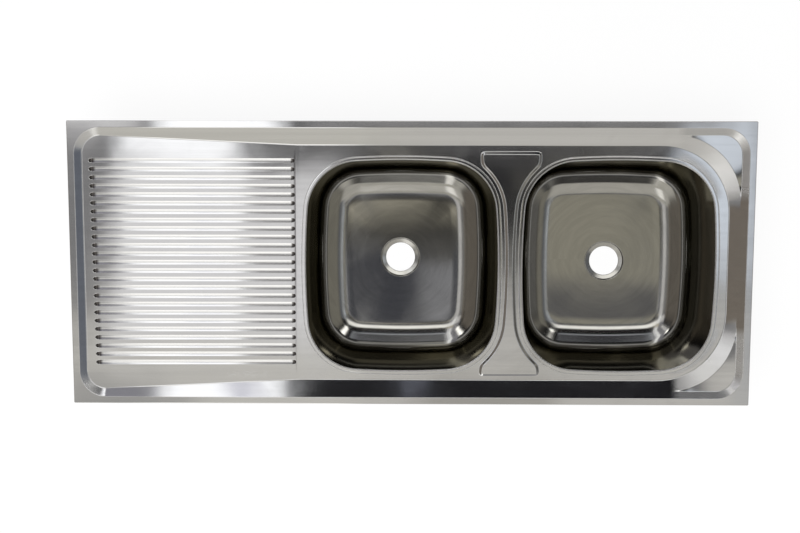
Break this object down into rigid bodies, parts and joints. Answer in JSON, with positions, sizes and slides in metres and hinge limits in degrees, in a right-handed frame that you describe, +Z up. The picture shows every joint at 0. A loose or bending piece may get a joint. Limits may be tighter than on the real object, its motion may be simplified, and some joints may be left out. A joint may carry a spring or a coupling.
{
  "type": "double bowl inset kitchen sink",
  "caption": "Pressed stainless inset kitchen sink with a grooved drainer, paired rounded bowls, a raised divider and screw clips that clamp its rim to a worktop.",
  "frame": {"origin": "centre of the sink's outline, on the surface that its sound pads stand on", "axes": "+X along the sink from the drainer to the bowls, +Y to the back edge, +Z up"},
  "size_m": [1.2, 0.5, 0.165],
  "materials": {
    "top_steel": "satin stainless",
    "bowl_steel": "satin stainless",
    "sound_pad": "matt bitumen sheet",
    "seal_foam": "closed cell foam",
    "bare_steel": "bare stainless",
    "galvanised_steel": "galvanised",
    "zinc_plate": "bright zinc plate",
    "spring_steel": "blackened spring steel"
  },
  "bodies": {
    "sink": {"sink_top": "top_steel", "left_bowl": "bowl_steel", "right_bowl": "bowl_steel", "left_bowl_pad": "sound_pad", "right_bowl_pad": "sound_pad", "rim_seal": "seal_foam", "earth_tag": "bare_steel", "earth_bolt": "zinc_plate", "earth_washer": "zinc_plate", "earth_nut": "zinc_plate", "drainer_channel_1": "galvanised_steel", "drainer_channel_2": "galvanised_steel", "clip_bracket_back_1": "galvanised_steel", "clip_bracket_front_1": "galvanised_steel", "clip_bracket_back_2": "galvanised_steel", "clip_bracket_front_2": "galvanised_steel", "clip_bracket_back_3": "galvanised_steel", "clip_bracket_front_3": "galvanised_steel", "clip_bracket_left": "galvanised_steel", "clip_bracket_right": "galvanised_steel"},
    "claw_back_1": {"clip_claw_back_1": "zinc_plate"},
    "screw_back_1": {"clip_screw_back_1": "zinc_plate", "clip_ring_back_1": "spring_steel"},
    "claw_front_1": {"clip_claw_front_1": "zinc_plate"},
    "screw_front_1": {"clip_screw_front_1": "zinc_plate", "clip_ring_front_1": "spring_steel"},
    "claw_back_2": {"clip_claw_back_2": "zinc_plate"},
    "screw_back_2": {"clip_screw_back_2": "zinc_plate", "clip_ring_back_2": "spring_steel"},
    "claw_front_2": {"clip_claw_front_2": "zinc_plate"},
    "screw_front_2": {"clip_screw_front_2": "zinc_plate", "clip_ring_front_2": "spring_steel"},
    "claw_back_3": {"clip_claw_back_3": "zinc_plate"},
    "screw_back_3": {"clip_screw_back_3": "zinc_plate", "clip_ring_back_3": "spring_steel"},
    "claw_front_3": {"clip_claw_front_3": "zinc_plate"},
    "screw_front_3": {"clip_screw_front_3": "zinc_plate", "clip_ring_front_3": "spring_steel"},
    "claw_left": {"clip_claw_left": "zinc_plate"},
    "screw_left": {"clip_screw_left": "zinc_plate", "clip_ring_left": "spring_steel"},
    "claw_right": {"clip_claw_right": "zinc_plate"},
    "screw_right": {"clip_screw_right": "zinc_plate", "clip_ring_right": "spring_steel"}
  },
  "joints": [
    {"name": "claw_lift_back_1", "type": "slide", "parent": "sink", "child": "claw_back_1", "axis": [0, 0, 1], "range_m": [0, 0.016]},
    {"name": "screw_turn_back_1", "type": "hinge", "parent": "claw_back_1", "child": "screw_back_1", "pos_m": [-0.43, 0.233, 0.12], "axis": [0, 0, 1], "range_deg": [0, 5760]},
    {"name": "claw_lift_front_1", "type": "slide", "parent": "sink", "child": "claw_front_1", "axis": [0, 0, 1], "range_m": [0, 0.016]},
    {"name": "screw_turn_front_1", "type": "hinge", "parent": "claw_front_1", "child": "screw_front_1", "pos_m": [-0.43, -0.233, 0.12], "axis": [0, 0, 1], "range_deg": [0, 5760]},
    {"name": "claw_lift_back_2", "type": "slide", "parent": "sink", "child": "claw_back_2", "axis": [0, 0, 1], "range_m": [0, 0.016]},
    {"name": "screw_turn_back_2", "type": "hinge", "parent": "claw_back_2", "child": "screw_back_2", "pos_m": [0, 0.233, 0.12], "axis": [0, 0, 1], "range_deg": [0, 5760]},
    {"name": "claw_lift_front_2", "type": "slide", "parent": "sink", "child": "claw_front_2", "axis": [0, 0, 1], "range_m": [0, 0.016]},
    {"name": "screw_turn_front_2", "type": "hinge", "parent": "claw_front_2", "child": "screw_front_2", "pos_m": [0, -0.233, 0.12], "axis": [0, 0, 1], "range_deg": [0, 5760]},
    {"name": "claw_lift_back_3", "type": "slide", "parent": "sink", "child": "claw_back_3", "axis": [0, 0, 1], "range_m": [0, 0.016]},
    {"name": "screw_turn_back_3", "type": "hinge", "parent": "claw_back_3", "child": "screw_back_3", "pos_m": [0.43, 0.233, 0.12], "axis": [0, 0, 1], "range_deg": [0, 5760]},
    {"name": "claw_lift_front_3", "type": "slide", "parent": "sink", "child": "claw_front_3", "axis": [0, 0, 1], "range_m": [0, 0.016]},
    {"name": "screw_turn_front_3", "type": "hinge", "parent": "claw_front_3", "child": "screw_front_3", "pos_m": [0.43, -0.233, 0.12], "axis": [0, 0, 1], "range_deg": [0, 5760]},
    {"name": "claw_lift_left", "type": "slide", "parent": "sink", "child": "claw_left", "axis": [0, 0, 1], "range_m": [0, 0.016]},
    {"name": "screw_turn_left", "type": "hinge", "parent": "claw_left", "child": "screw_left", "pos_m": [-0.583, 0, 0.12], "axis": [0, 0, 1], "range_deg": [0, 5760]},
    {"name": "claw_lift_right", "type": "slide", "parent": "sink", "child": "claw_right", "axis": [0, 0, 1], "range_m": [0, 0.016]},
    {"name": "screw_turn_right", "type": "hinge", "parent": "claw_right", "child": "screw_right", "pos_m": [0.583, 0, 0.12], "axis": [0, 0, 1], "range_deg": [0, 5760]}
  ],
  "couplings": [
    {"joint": "screw_turn_back_1", "follows": "claw_lift_back_1", "rad_per_m": 6283.2},
    {"joint": "screw_turn_front_1", "follows": "claw_lift_front_1", "rad_per_m": 6283.2},
    {"joint": "screw_turn_back_2", "follows": "claw_lift_back_2", "rad_per_m": 6283.2},
    {"joint": "screw_turn_front_2", "follows": "claw_lift_front_2", "rad_per_m": 6283.2},
    {"joint": "screw_turn_back_3", "follows": "claw_lift_back_3", "rad_per_m": 6283.2},
    {"joint": "screw_turn_front_3", "follows": "claw_lift_front_3", "rad_per_m": 6283.2},
    {"joint": "screw_turn_left", "follows": "claw_lift_left", "rad_per_m": 6283.2},
    {"joint": "screw_turn_right", "follows": "claw_lift_right", "rad_per_m": 6283.2}
  ]
}
